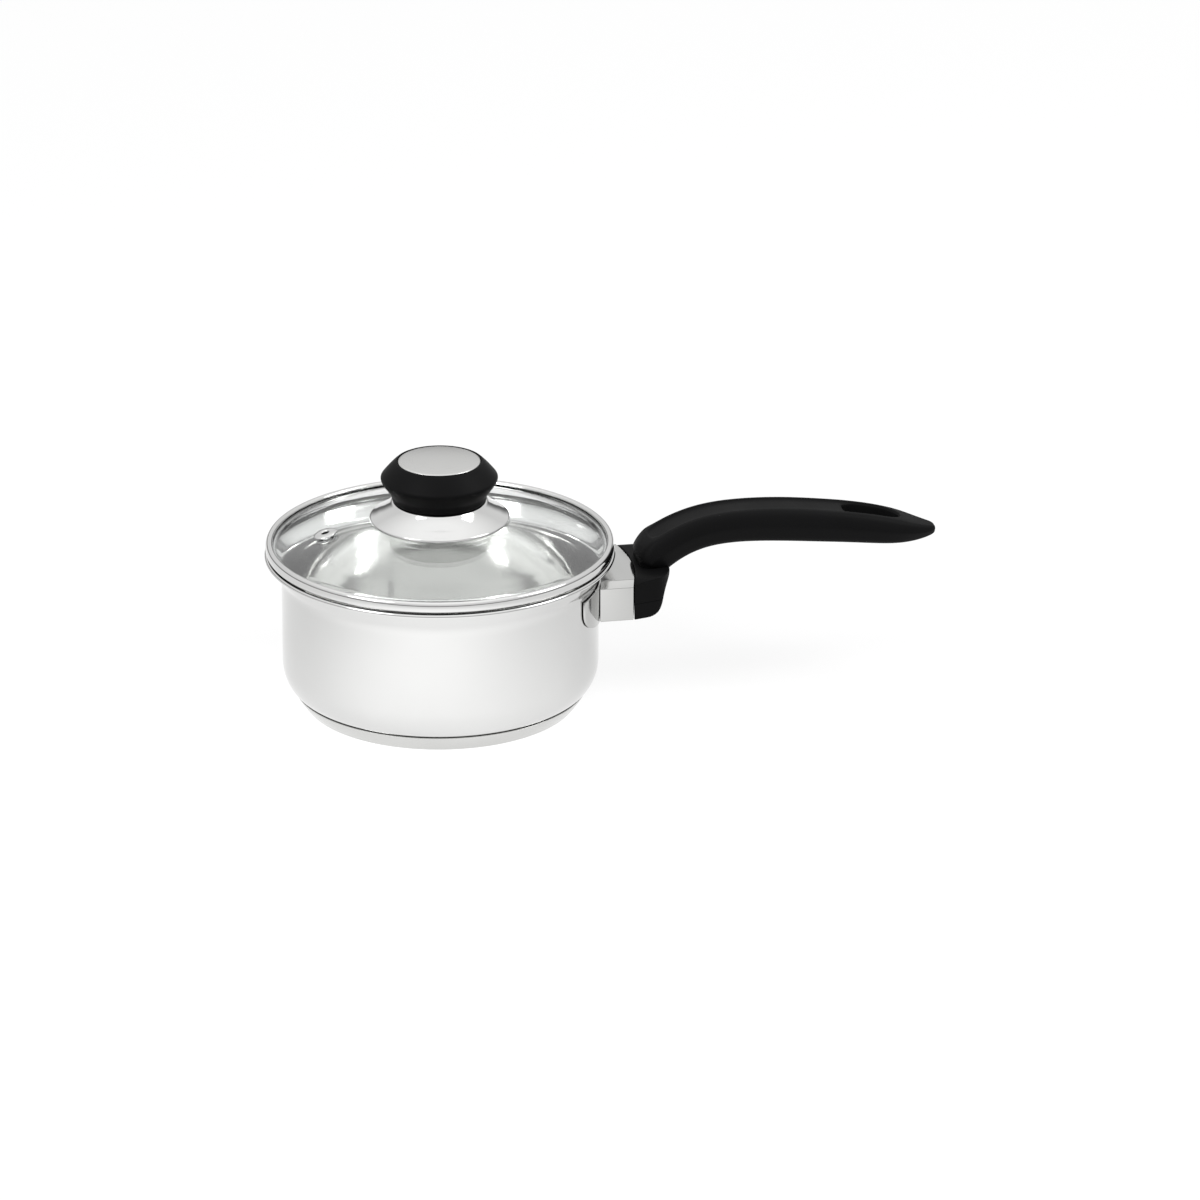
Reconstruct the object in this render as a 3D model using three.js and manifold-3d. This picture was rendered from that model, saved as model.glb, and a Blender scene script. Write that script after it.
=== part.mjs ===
// A small saucepan with a glass lid, in millimetres, +Z up. The origin is the centre of the underside,
// the Z axis is the axis of the bowl, and the handle runs out along +X.
import * as THREE from 'three';
import { LoftGeometry } from 'three/addons/geometries/LoftGeometry.js';
import { mergeVertices } from 'three/addons/utils/BufferGeometryUtils.js';
import Module from 'manifold-3d';

// Bowl
const BOWL_RADIUS = 80;
const BOWL_WALL = 0.8;
const BOWL_FLOOR = 5.6;
const BOWL_FLAT_RADIUS = 64;
const CORNER_TOP = 24;
const FLARE_START = 63;
const RIM_CENTRE = { r: 87.1, z: 79.4 };
const RIM_INNER_RADIUS = 0.5;

// Heat-spreading base
const FOOT_RADIUS = 68.4;
const SEAM_RADIUS = 74.3;
const SEAM_HEIGHT = 8.7;
const CAP_WALL = 0.7;

// Fixing plate, tongue and flame guard
const PLATE_INNER = 80.5;
const PLATE_OUTER = 81.5;
const PLATE_HALF_ANGLE = THREE.MathUtils.degToRad(36);
const GUARD_BOTTOM = 46.5;
const GUARD_TOP = 67.5;
const GUARD_INNER = 81.9;
const GUARD_OUTER = 98;
const GUARD_HALF_WIDTH = 27.5;
const GUARD_WALL = 1;
const GUARD_CHAMFER = 3;
const TONGUE_HALF_WIDTH = 9;
const TONGUE_BOTTOM = 56;
const TONGUE_TOP = 59;
const TONGUE_END = 109;

// Handle
const BLOCK_INNER = 98.4;
const BLOCK_OUTER = 113.5;
const BLOCK_REAR_HALF_WIDTH = 23;
const HANDLE_SCREW_X = 104;
const SLOT_START = 206;
const SLOT_LENGTH = 31;
const SLOT_WIDTH = 10;
// The middle of the grip from inside the block to the tip, with half its width and half its depth.
const GRIP_STATIONS = [
  { x: 105, z: 60, wide: 13.4, deep: 9.2 },
  { x: 106.4, z: 69, wide: 13.8, deep: 9.4 },
  { x: 110.7, z: 74, wide: 14.4, deep: 9.4 },
  { x: 119.7, z: 79, wide: 14, deep: 8.6 },
  { x: 133.1, z: 84.1, wide: 13.4, deep: 8.5 },
  { x: 152, z: 86.2, wide: 13.2, deep: 8.7 },
  { x: 179, z: 85, wide: 13.3, deep: 9 },
  { x: 206, z: 82, wide: 13.6, deep: 8.4 },
  { x: 230, z: 78.1, wide: 12.8, deep: 7.2 },
  { x: 246.5, z: 75.3, wide: 8.4, deep: 4.5 },
  { x: 255.4, z: 74.9, wide: 2.2, deep: 1.4 },
];

// Lid
const GLASS_TOP = 100.8;
const GLASS_BALL_RADIUS = 221;
const GLASS_THICKNESS = 3.4;
const GLASS_RADIUS = 86.2;
const GLASS_EDGE_TOP = 85.2;
const KNOB_HOLE_RADIUS = 4.5;
const VENT_DISTANCE = 58;
const VENT_HOLE_RADIUS = 3.6;
const RING_RADIUS = 87.8;
const RING_TOP = 86;
const RING_BOTTOM = 81;
const RING_WALL = 0.5;
const SKIRT_TOP = 108.4;
const SKIRT_RADIUS = 35.3;
const SKIRT_WALL = 0.6;
const KNOB_BOTTOM = 108.7;
const KNOB_RADIUS = 29.6;
const CAP_RADIUS = 20.8;

// Facets round each body of revolution
const LARGE = 44;
const MEDIUM = 32;
const SMALL = 14;

const wasm = await Module();
wasm.setup();

// A solid for joining and cutting, from any closed geometry.
function solidOf(geometry) {
  const bare = new THREE.BufferGeometry();
  const source = geometry.index ? geometry.toNonIndexed() : geometry;
  bare.setAttribute('position', source.getAttribute('position'));
  const welded = mergeVertices(bare, 1e-3);
  const index = welded.index.array;
  const corners = [];
  for (let i = 0; i < index.length; i += 3) {
    const [a, b, c] = index.slice(i, i + 3);
    if (a !== b && b !== c && c !== a) corners.push(a, b, c);
  }
  const vertProperties = welded.attributes.position.array;
  const build = (triVerts) => new wasm.Manifold(new wasm.Mesh({ numProp: 3, vertProperties, triVerts }));
  const solid = build(new Uint32Array(corners));
  return solid.volume() > 0 ? solid : build(new Uint32Array(corners.reverse()));
}

function geometryOf(solid) {
  const mesh = solid.getMesh();
  const geometry = new THREE.BufferGeometry();
  geometry.setAttribute('position', new THREE.BufferAttribute(mesh.vertProperties, 3));
  geometry.setIndex(new THREE.BufferAttribute(mesh.triVerts, 1));
  return geometry;
}

// A body of revolution about Z. Each outline point is (radius, height).
function turned(outline, facets) {
  const closed = outline[0].x === 0 ? outline : [...outline, outline[0]];
  return solidOf(new THREE.LatheGeometry(closed, facets).rotateX(Math.PI / 2));
}

// A tube or washer from one radius to another between two heights.
function washer(inner, outer, bottom, top, facets = SMALL) {
  const outline = [[inner, bottom], [outer, bottom], [outer, top], [inner, top]];
  return turned(outline.map(([r, z]) => new THREE.Vector2(r, z)), facets);
}

function rod(radius, bottom, top, facets = SMALL) {
  const outline = [[0, bottom], [radius, bottom], [radius, top], [0, top]];
  return turned(outline.map(([r, z]) => new THREE.Vector2(r, z)), facets);
}

function block(x0, x1, halfWidth, z0, z1) {
  const box = new THREE.BoxGeometry(x1 - x0, 2 * halfWidth, z1 - z0);
  return solidOf(box.translate((x0 + x1) / 2, 0, (z0 + z1) / 2));
}

// The outline of a sheet: a line, and the same line moved to its left by the thickness.
// A line that starts on the axis stays on it.
function sheet(line, thickness) {
  const moved = line.map((point, i) => {
    const before = line[Math.max(i - 1, 0)];
    const after = line[Math.min(i + 1, line.length - 1)];
    const into = point.clone().sub(before).normalize();
    const out = after.clone().sub(point).normalize();
    const from = i === 0 ? out : into;
    const to = i === line.length - 1 ? into : out;
    const mitre = from.clone().add(to);
    const scale = thickness / (1 + from.dot(to));
    const radius = point.x === 0 ? 0 : point.x - mitre.y * scale;
    return new THREE.Vector2(radius, point.y + mitre.x * scale);
  });
  return [...line, ...moved.reverse()];
}

// The points of a path with so many steps on each of its curves.
function drawn(draw, steps) {
  const path = new THREE.Path();
  draw(path);
  return path.getPoints(steps);
}

// A flat outline in XY, raised from one height to another.
function raised(draw, bottom, top, steps = 6) {
  const shape = new THREE.Shape();
  draw(shape);
  const settings = { depth: top - bottom, bevelEnabled: false, curveSegments: steps };
  return solidOf(new THREE.ExtrudeGeometry(shape, settings).translate(0, 0, bottom));
}

// A flat outline in XZ, carried across Y by the same amount to each side.
function carriedAcross(draw, halfWidth, steps = 6) {
  const shape = new THREE.Shape();
  draw(shape);
  const settings = { depth: 2 * halfWidth, bevelEnabled: false, curveSegments: steps };
  const geometry = new THREE.ExtrudeGeometry(shape, settings).translate(0, 0, -halfWidth);
  return solidOf(geometry.rotateX(Math.PI / 2));
}

// The outer line of the bowl, from the middle of its floor to the curled rim.
function bowlLine() {
  return drawn((path) => {
    path.moveTo(0, BOWL_FLOOR);
    path.lineTo(BOWL_FLAT_RADIUS, BOWL_FLOOR);
    path.bezierCurveTo(76.2, 7.2, BOWL_RADIUS, 15, BOWL_RADIUS, CORNER_TOP);
    path.lineTo(BOWL_RADIUS, FLARE_START);
    path.bezierCurveTo(BOWL_RADIUS, 71, 82.6, 77, RIM_CENTRE.r - 0.3, RIM_CENTRE.z + 0.4);
    path.absarc(RIM_CENTRE.r, RIM_CENTRE.z, RIM_INNER_RADIUS, 2.2, -0.35, true);
  }, 4);
}

function bowl() {
  return turned(sheet(bowlLine(), BOWL_WALL), LARGE);
}

// The pressed steel dish over the core. Its edge stops just short of the bowl, at the seam.
function baseCap() {
  const line = drawn((path) => {
    path.moveTo(0, 0);
    path.lineTo(FOOT_RADIUS - 2, 0);
    path.quadraticCurveTo(FOOT_RADIUS, 0, FOOT_RADIUS + 0.9, 1.4);
    path.lineTo(SEAM_RADIUS, SEAM_HEIGHT);
  }, 3);
  return turned(sheet(line, CAP_WALL), LARGE);
}

// The core fills the dish up to the underside of the bowl.
function baseCore() {
  const bottom = CAP_WALL + 0.3;
  const top = BOWL_FLOOR - 0.3;
  const outline = [[0, bottom], [FOOT_RADIUS - 1.2, bottom], [71.8, 7.1], [69, 6.1], [BOWL_FLAT_RADIUS, top], [0, top]];
  return turned(outline.map(([r, z]) => new THREE.Vector2(r, z)), LARGE);
}

// A shield-shaped plate that follows the wall, wide above and as wide as the guard below.
function weldPlate() {
  const top = 66;
  const wide = PLATE_OUTER * Math.sin(PLATE_HALF_ANGLE);
  const narrow = GUARD_HALF_WIDTH - 2;
  const shield = carriedAcross((shape) => {
    shape.moveTo(-narrow, GUARD_BOTTOM);
    shape.lineTo(narrow, GUARD_BOTTOM);
    shape.bezierCurveTo(narrow + 12, GUARD_BOTTOM, wide, GUARD_BOTTOM + 4, wide, GUARD_BOTTOM + 13);
    shape.lineTo(wide, top);
    shape.lineTo(-wide, top);
    shape.lineTo(-wide, GUARD_BOTTOM + 13);
    shape.bezierCurveTo(-wide, GUARD_BOTTOM + 4, -narrow - 12, GUARD_BOTTOM, -narrow, GUARD_BOTTOM);
  }, 20).rotate([0, 0, 90]).translate([PLATE_OUTER, 0, 0]);
  return washer(PLATE_INNER, PLATE_OUTER, GUARD_BOTTOM, top, 2 * LARGE).intersect(shield);
}

// A foot against the plate, and a flat bar that reaches into the handle.
function bracketTongue() {
  const foot = block(GUARD_INNER, GUARD_INNER + 2.5, TONGUE_HALF_WIDTH, TONGUE_BOTTOM - 7, TONGUE_TOP + 4);
  const bar = block(GUARD_INNER + 2, TONGUE_END, TONGUE_HALF_WIDTH, TONGUE_BOTTOM, TONGUE_TOP);
  const hole = rod(2.8, TONGUE_BOTTOM - 1, TONGUE_TOP + 1).translate([HANDLE_SCREW_X, 0, 0]);
  return foot.add(bar).subtract(hole);
}

// The plan of the guard or of its hollow: straight sides between two arcs about the bowl's axis.
function guardPlan(shape, inner, outer, halfWidth) {
  const innerAngle = Math.asin(halfWidth / inner);
  const outerAngle = Math.asin(halfWidth / outer);
  shape.absarc(0, 0, outer, -outerAngle, outerAngle, false);
  shape.absarc(0, 0, inner, innerAngle, -innerAngle, true);
  shape.closePath();
}

// A hollow steel cover, open towards the pan, with its top edges taken off at the sides.
function flameGuard() {
  const bodyOf = (inset, reach) => {
    const half = GUARD_HALF_WIDTH - inset;
    const inner = GUARD_INNER - reach;
    const plan = raised(
      (shape) => guardPlan(shape, inner, GUARD_OUTER - inset, half), GUARD_BOTTOM + inset, GUARD_TOP - inset, 8);
    const cut = GUARD_CHAMFER - inset * 0.4;
    const section = raised((shape) => {
      shape.moveTo(-half - 1, GUARD_BOTTOM - 1);
      shape.lineTo(half + 1, GUARD_BOTTOM - 1);
      shape.lineTo(half + 1, GUARD_TOP - inset - cut - 1);
      shape.lineTo(half - cut - 1, GUARD_TOP - inset + 1);
      shape.lineTo(1 + cut - half, GUARD_TOP - inset + 1);
      shape.lineTo(-half - 1, GUARD_TOP - inset - cut - 1);
      shape.closePath();
    }, 0, GUARD_OUTER + 5).rotate([90, 0, 90]);
    return plan.intersect(section);
  };
  const slot = block(GUARD_OUTER - 5, GUARD_OUTER + 2, TONGUE_HALF_WIDTH + 0.5, TONGUE_BOTTOM - 0.5, TONGUE_TOP + 0.5);
  return bodyOf(0, 0).subtract(bodyOf(GUARD_WALL, 6)).subtract(slot);
}

// The block of the handle: its plan narrows away from the pan, and its back curves in under the grip.
function handleBlock() {
  const frontAngle = Math.asin(GUARD_HALF_WIDTH / BLOCK_INNER);
  const frontX = BLOCK_INNER * Math.cos(frontAngle);
  const plan = raised((shape) => {
    shape.moveTo(frontX, -GUARD_HALF_WIDTH);
    shape.lineTo(BLOCK_OUTER - 3, -BLOCK_REAR_HALF_WIDTH);
    shape.quadraticCurveTo(BLOCK_OUTER, 3 - BLOCK_REAR_HALF_WIDTH, BLOCK_OUTER, 6 - BLOCK_REAR_HALF_WIDTH);
    shape.lineTo(BLOCK_OUTER, BLOCK_REAR_HALF_WIDTH - 6);
    shape.quadraticCurveTo(BLOCK_OUTER, BLOCK_REAR_HALF_WIDTH - 3, BLOCK_OUTER - 3, BLOCK_REAR_HALF_WIDTH);
    shape.lineTo(frontX, GUARD_HALF_WIDTH);
    shape.absarc(0, 0, BLOCK_INNER, frontAngle, -frontAngle, true);
  }, GUARD_BOTTOM, GUARD_TOP, 8);
  const side = carriedAcross((shape) => {
    shape.moveTo(90, GUARD_TOP);
    shape.lineTo(90, GUARD_BOTTOM);
    shape.lineTo(BLOCK_OUTER - 10.5, GUARD_BOTTOM);
    shape.quadraticCurveTo(BLOCK_OUTER - 4.5, GUARD_BOTTOM + 0.5, BLOCK_OUTER - 3, GUARD_BOTTOM + 7);
    shape.lineTo(BLOCK_OUTER, GUARD_TOP);
  }, GUARD_HALF_WIDTH + 2, 6);
  return plan.intersect(side);
}

// The grip: rounded-square sections set square to a smooth line through the stations.
function grip() {
  const middle = new THREE.CatmullRomCurve3(GRIP_STATIONS.map(({ x, z }) => new THREE.Vector3(x, 0, z)));
  const sizes = new THREE.CatmullRomCurve3(
    GRIP_STATIONS.map(({ wide, deep }) => new THREE.Vector3(wide, deep, 0)));
  const steps = 22;
  const corners = 16;
  const squareness = 0.74;
  const sections = Array.from({ length: steps + 1 }, (_, i) => {
    const t = i / steps;
    const at = middle.getPoint(t);
    const along = middle.getTangent(t);
    const size = sizes.getPoint(t);
    return Array.from({ length: corners }, (_, j) => {
      const turn = (2 * Math.PI * j) / corners;
      const across = Math.sign(Math.cos(turn)) * Math.abs(Math.cos(turn)) ** squareness * size.x;
      const up = Math.sign(Math.sin(turn)) * Math.abs(Math.sin(turn)) ** squareness * size.y;
      return new THREE.Vector3(at.x - along.z * up, across, at.z + along.x * up);
    });
  });
  return solidOf(new LoftGeometry(sections, { capStart: true, capEnd: true }));
}

// A slot with round ends, cut straight down through the grip to hang the pan up by.
function hangingSlot() {
  const radius = SLOT_WIDTH / 2;
  return raised((shape) => {
    shape.absarc(SLOT_START + SLOT_LENGTH - radius, 0, radius, -Math.PI / 2, Math.PI / 2, false);
    shape.absarc(SLOT_START + radius, 0, radius, Math.PI / 2, 1.5 * Math.PI, false);
  }, 60, 100, 5);
}

// One moulding, with a pocket for the tongue and nut and a stepped hole for the screw.
function handleBody() {
  const tonguePocket = block(90, TONGUE_END + 1, TONGUE_HALF_WIDTH + 0.5, TONGUE_BOTTOM - 0.4, TONGUE_TOP + 0.4);
  const nutPocket = block(90, HANDLE_SCREW_X + 5, 4.6, TONGUE_TOP, 65);
  const screwHole = rod(2.8, 50, 57).add(rod(5.2, GUARD_BOTTOM - 1, 51.5)).translate([HANDLE_SCREW_X, 0, 0]);
  const frontClear = rod(BLOCK_INNER, GUARD_BOTTOM, 100, 2 * LARGE);
  return handleBlock().add(grip()).subtract(hangingSlot()).subtract(tonguePocket)
    .subtract(nutPocket).subtract(screwHole).subtract(frontClear);
}

function handleScrew() {
  const driveSlot = block(-5, 5, 0.6, 47, 48.2);
  return rod(4.5, 47.2, 49.9).add(rod(2.4, 49, 64)).subtract(driveSlot).translate([HANDLE_SCREW_X, 0, 0]);
}

function handleLockWasher() {
  return washer(2.7, 4.5, 50.2, 51.2).translate([HANDLE_SCREW_X, 0, 0]);
}

function handleNut() {
  const hole = rod(2.7, TONGUE_TOP, 64);
  return block(-4, 4, 4, TONGUE_TOP + 0.3, TONGUE_TOP + 3.8).subtract(hole).translate([HANDLE_SCREW_X, 0, 0]);
}

const glassHeight = (radius) => GLASS_TOP - radius ** 2 / (2 * GLASS_BALL_RADIUS);

// Domed glass with a flat edge, drilled for the knob screw and for the vent.
function lidGlass() {
  const domeEdge = 79;
  const steps = 5;
  const line = Array.from({ length: steps + 1 }, (_, i) => {
    const radius = KNOB_HOLE_RADIUS + ((domeEdge - KNOB_HOLE_RADIUS) * i) / steps;
    return new THREE.Vector2(radius, glassHeight(radius));
  });
  line.push(new THREE.Vector2(81.4, 85.5));
  line.push(new THREE.Vector2(83.6, GLASS_EDGE_TOP));
  line.push(new THREE.Vector2(GLASS_RADIUS, GLASS_EDGE_TOP));
  const ventHole = rod(VENT_HOLE_RADIUS, -10, 10);
  return turned(sheet(line, -GLASS_THICKNESS), LARGE).subtract(onDome(ventHole));
}

// Moves a solid from the axis to the vent, tilted square to the glass.
function onDome(solid) {
  const slope = THREE.MathUtils.radToDeg(Math.asin(VENT_DISTANCE / GLASS_BALL_RADIUS));
  return solid.rotate([0, -slope, 0]).translate([-VENT_DISTANCE, 0, glassHeight(VENT_DISTANCE)]);
}

// A steel channel rolled round the glass edge, with a lip that drops into the flare of the bowl.
function lidRing() {
  const lip = 82.6;
  const line = drawn((path) => {
    path.moveTo(lip, 78.6);
    path.lineTo(lip, RING_BOTTOM - 0.7);
    path.quadraticCurveTo(lip, RING_BOTTOM, lip + 0.8, RING_BOTTOM);
    path.lineTo(RING_RADIUS - 2, RING_BOTTOM);
    path.quadraticCurveTo(RING_RADIUS, RING_BOTTOM, RING_RADIUS, RING_BOTTOM + 2);
    path.lineTo(RING_RADIUS, RING_TOP - 1);
    path.quadraticCurveTo(RING_RADIUS, RING_TOP, RING_RADIUS - 1, RING_TOP);
    path.lineTo(83.6, RING_TOP);
  }, 2);
  return turned(sheet(line, RING_WALL), LARGE);
}

// An eyelet with a broad flat head above the glass, closed over its washer below.
function ventEyelet() {
  const outline = [[1.8, -5.5], [4.6, -5.5], [4.6, -4.9], [3.3, -4.9], [3.3, 0.3], [6.1, 0.3], [5.8, 1.1], [1.8, 1.4]];
  return onDome(turned(outline.map(([r, z]) => new THREE.Vector2(r, z)), SMALL));
}

function ventWasher() {
  return onDome(washer(3.6, 5.5, -4.6, -3.7));
}

// A bright bell under the knob. Only its rolled edge comes near the glass.
function knobSkirt() {
  const line = drawn((path) => {
    path.moveTo(2.8, SKIRT_TOP);
    path.lineTo(23.4, SKIRT_TOP);
    path.bezierCurveTo(25, 103.8, 28.5, 101, 34, 100.3);
    path.quadraticCurveTo(SKIRT_RADIUS, 100.1, SKIRT_RADIUS, 99);
    path.lineTo(SKIRT_RADIUS, 98.4);
  }, 4);
  return turned(sheet(line, -SKIRT_WALL), MEDIUM);
}

// Widest just above the middle, hollow below round a boss, with a shallow seat for the cap on top.
function knobBody() {
  const wide = drawn((path) => {
    path.moveTo(20.5, KNOB_BOTTOM);
    path.lineTo(23.6, KNOB_BOTTOM);
    path.quadraticCurveTo(24.4, 111.5, 25.4, 113);
    path.bezierCurveTo(26.6, 115.5, 28.6, 117.8, KNOB_RADIUS, 119.8);
    path.quadraticCurveTo(KNOB_RADIUS + 0.1, 120.8, 29.2, 121.4);
    path.quadraticCurveTo(26, 126, 22, 129);
    path.lineTo(21.2, 129);
    path.lineTo(21.2, 127.5);
    path.lineTo(0, 127.5);
  }, 3);
  const hollow = [[0, 121], [4.6, 121], [4.6, KNOB_BOTTOM], [8.5, KNOB_BOTTOM], [9, 118], [19.5, 118]];
  return turned([...hollow.map(([r, z]) => new THREE.Vector2(r, z)), ...wide], MEDIUM);
}

// A thin satin disc with a low crown and a turned-down edge.
function knobCap() {
  const line = drawn((path) => {
    path.moveTo(0, 130.3);
    path.quadraticCurveTo(12, 130.2, CAP_RADIUS - 0.5, 128.9);
    path.lineTo(CAP_RADIUS, 128.5);
    path.lineTo(CAP_RADIUS, 127.9);
  }, 3);
  return turned(sheet(line, -SKIRT_WALL), MEDIUM);
}

// The pieces of the lid's fixing, from the insert in the knob down to the screw head.
const knobInsert = () => washer(2.6, 4.3, KNOB_BOTTOM + 0.2, 120.4);
const knobBush = () => washer(2.6, 4.2, 97.5, 100.7);
const knobGasket = () => washer(2.7, 9, 95.4, 97.1);
const knobWasher = () => washer(2.7, 8.5, 94, 95.1);
const knobLockWasher = () => washer(2.6, 4.4, 92.8, 93.7);

function knobScrew() {
  return rod(4.3, 89.8, 92.5).add(rod(2.3, 92, 118)).subtract(block(-5, 5, 0.6, 89, 90.9));
}

const STEEL = { color: 0xd9dadb, roughness: 0.16, metalness: 1 };
const SATIN_STEEL = { color: 0xc9cacb, roughness: 0.34, metalness: 1 };
const ALUMINIUM = { color: 0xbfc1c4, roughness: 0.45, metalness: 1 };
const PHENOLIC = { color: 0x141416, roughness: 0.42, metalness: 0 };
const GLASS = { color: 0xe9efee, roughness: 0.03, metalness: 0, transparent: true, opacity: 0.35 };
const BRASS = { color: 0xb59a56, roughness: 0.35, metalness: 1 };
const ZINC = { color: 0xb4b8bc, roughness: 0.38, metalness: 1 };
const SILICONE = { color: 0xd8d8d2, roughness: 0.6, metalness: 0 };

function named(name, solid, finish) {
  const mesh = new THREE.Mesh(geometryOf(solid), new THREE.MeshStandardMaterial(finish));
  mesh.name = name;
  return mesh;
}

const pan = new THREE.Group();
pan.add(
  named('pan_shell', bowl(), STEEL),
  named('base_core', baseCore(), ALUMINIUM),
  named('base_cap', baseCap(), SATIN_STEEL),
  named('weld_plate', weldPlate(), STEEL),
  named('bracket_tongue', bracketTongue(), ZINC),
  named('flame_guard', flameGuard(), STEEL),
  named('handle_body', handleBody(), PHENOLIC),
  named('handle_screw', handleScrew(), ZINC),
  named('handle_lock_washer', handleLockWasher(), ZINC),
  named('handle_nut', handleNut(), ZINC),
);

const lid = new THREE.Group();
lid.add(
  named('lid_glass', lidGlass(), GLASS),
  named('lid_ring', lidRing(), STEEL),
  named('vent_eyelet', ventEyelet(), STEEL),
  named('vent_washer', ventWasher(), STEEL),
  named('knob_skirt', knobSkirt(), STEEL),
  named('knob_body', knobBody(), PHENOLIC),
  named('knob_cap', knobCap(), SATIN_STEEL),
  named('knob_insert', knobInsert(), BRASS),
  named('knob_screw', knobScrew(), ZINC),
  named('knob_lock_washer', knobLockWasher(), ZINC),
  named('knob_washer', knobWasher(), ZINC),
  named('knob_gasket', knobGasket(), SILICONE),
  named('knob_bush', knobBush(), SILICONE),
);

const saucepan = new THREE.Group();
saucepan.add(pan, lid);

export default saucepan;
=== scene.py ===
# %% [markdown]
# # A small steel saucepan with a glass lid
#
# The pan is a drawn steel bowl with a heat-spreading base, a steel flame guard and one black moulded
# handle. The lid is a glass dome in a rolled steel ring, with a knob on a bright steel bell. The sizes and
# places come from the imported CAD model, which is loaded first and is never moved. Nearly every visible
# piece is then modelled again here, finely, in the same place.

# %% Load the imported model
import math

import bpy
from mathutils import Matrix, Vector


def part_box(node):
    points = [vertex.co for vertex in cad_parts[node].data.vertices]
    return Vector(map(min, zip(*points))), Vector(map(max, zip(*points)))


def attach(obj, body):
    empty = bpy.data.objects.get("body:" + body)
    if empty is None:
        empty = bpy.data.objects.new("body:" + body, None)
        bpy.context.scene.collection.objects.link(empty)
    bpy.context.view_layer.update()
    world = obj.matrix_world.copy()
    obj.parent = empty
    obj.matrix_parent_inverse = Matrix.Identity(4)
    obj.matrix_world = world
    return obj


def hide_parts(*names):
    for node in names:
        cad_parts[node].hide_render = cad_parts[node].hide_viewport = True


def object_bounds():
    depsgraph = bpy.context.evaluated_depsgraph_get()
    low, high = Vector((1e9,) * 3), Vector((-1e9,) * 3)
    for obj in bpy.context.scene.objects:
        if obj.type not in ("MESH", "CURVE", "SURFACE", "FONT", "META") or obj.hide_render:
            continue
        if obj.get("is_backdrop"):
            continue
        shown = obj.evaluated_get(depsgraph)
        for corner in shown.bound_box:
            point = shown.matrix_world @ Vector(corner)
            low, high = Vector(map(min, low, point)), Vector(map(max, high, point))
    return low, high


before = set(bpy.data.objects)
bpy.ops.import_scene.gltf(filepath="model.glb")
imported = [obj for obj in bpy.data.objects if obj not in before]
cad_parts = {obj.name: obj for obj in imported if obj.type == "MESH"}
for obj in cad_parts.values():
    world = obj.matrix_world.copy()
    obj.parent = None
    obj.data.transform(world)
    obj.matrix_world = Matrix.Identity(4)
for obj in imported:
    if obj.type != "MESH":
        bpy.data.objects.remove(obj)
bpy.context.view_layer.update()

# %% [markdown]
# ## Sizes
#
# A maker writes a drawing in millimetres, and Blender works in metres, so one name carries the change of
# unit. The main radii and heights are read from the CAD nodes' own boxes, so the fine pieces always agree
# with the model that they stand for.

# %% Sizes read from the CAD nodes, in millimetres
mm = 0.001


def lowest(node):
    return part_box(node)[0] / mm


def highest(node):
    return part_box(node)[1] / mm


rim_top = highest("pan_shell").z
rim_radius = highest("pan_shell").y
foot_radius = 68.4
seam_height = highest("base_cap").z
seam_radius = highest("base_cap").y
guard_low, guard_high = lowest("flame_guard"), highest("flame_guard")
ring_low, ring_high = lowest("lid_ring"), highest("lid_ring")
bowl_radius = 80.0
wall = 0.8
print(f"rim {rim_radius:.1f} mm round at {rim_top:.1f} mm, seam {seam_radius:.1f} mm at {seam_height:.1f} mm")

# %% [markdown]
# ## Camera
#
# A long lens from four metres away keeps the pan's circles nearly flat ellipses, as in a catalogue
# picture. The camera looks down by about 22 degrees, from a little to the left of square on to the handle,
# so that the handle runs back slightly.

# %% The camera
look_down = math.radians(21.87)
look_left = math.radians(-10.5)
distance = 4.0
centre_across = 80.66 * mm
aim = Vector((centre_across * math.cos(look_left), centre_across * math.sin(look_left), 53.6 * mm))
back = Vector((
    math.sin(look_left) * math.cos(look_down),
    -math.cos(look_left) * math.cos(look_down),
    math.sin(look_down)))
bpy.ops.object.camera_add(location=aim + back * distance)
camera = bpy.context.active_object
camera.rotation_euler = (-back).to_track_quat("-Z", "Y").to_euler()
camera.data.sensor_width = 36
camera.data.lens = distance * 36 / 0.606
camera.data.clip_start, camera.data.clip_end = 0.1, 60
bpy.context.scene.camera = camera
print(f"lens {camera.data.lens:.0f} mm at {distance} m")

# %% [markdown]
# ## Floor and light
#
# Polished steel shows the room more than itself, so the room matters as much as the metal. This one is a
# light table: a plain white floor that glows from below, so that hardly a shadow falls on it. The glow is
# a little stronger in front of the pan. That gives the round wall a bright middle and soft grey sides,
# because an upright wall that is looked down on reflects only the floor. Above the table the room is dark
# at eye level and white higher up, and that dark strip draws the fine lines along every rounded edge.

# %% The light table
glow_place = Vector((-0.056, -0.193, 0))
glow_reach = 0.33
bpy.ops.object.select_all(action="DESELECT")
bpy.ops.mesh.primitive_plane_add(size=14, location=(0, 0, 0))
floor = bpy.context.active_object
floor.name = "floor"
table = bpy.data.materials.new("light_table")
table.use_nodes = True
tree = table.node_tree
paint = tree.nodes["Principled BSDF"]
paint.inputs["Base Color"].default_value = (0.2, 0.2, 0.2, 1)
paint.inputs["Roughness"].default_value = 0.75
paint.inputs["Emission Color"].default_value = (1, 1, 1, 1)
away = tree.nodes.new("ShaderNodeVectorMath")
away.operation = "DISTANCE"
away.inputs[1].default_value = glow_place
tree.links.new(tree.nodes.new("ShaderNodeTexCoord").outputs["Object"], away.inputs[0])
glow = tree.nodes.new("ShaderNodeMapRange")
glow.interpolation_type = "SMOOTHSTEP"
glow.inputs["From Max"].default_value = glow_reach
glow.inputs["To Min"].default_value = 1.2
glow.inputs["To Max"].default_value = 0.69
tree.links.new(away.outputs["Value"], glow.inputs["Value"])
tree.links.new(glow.outputs["Result"], paint.inputs["Emission Strength"])
floor.data.materials.append(table)
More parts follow.
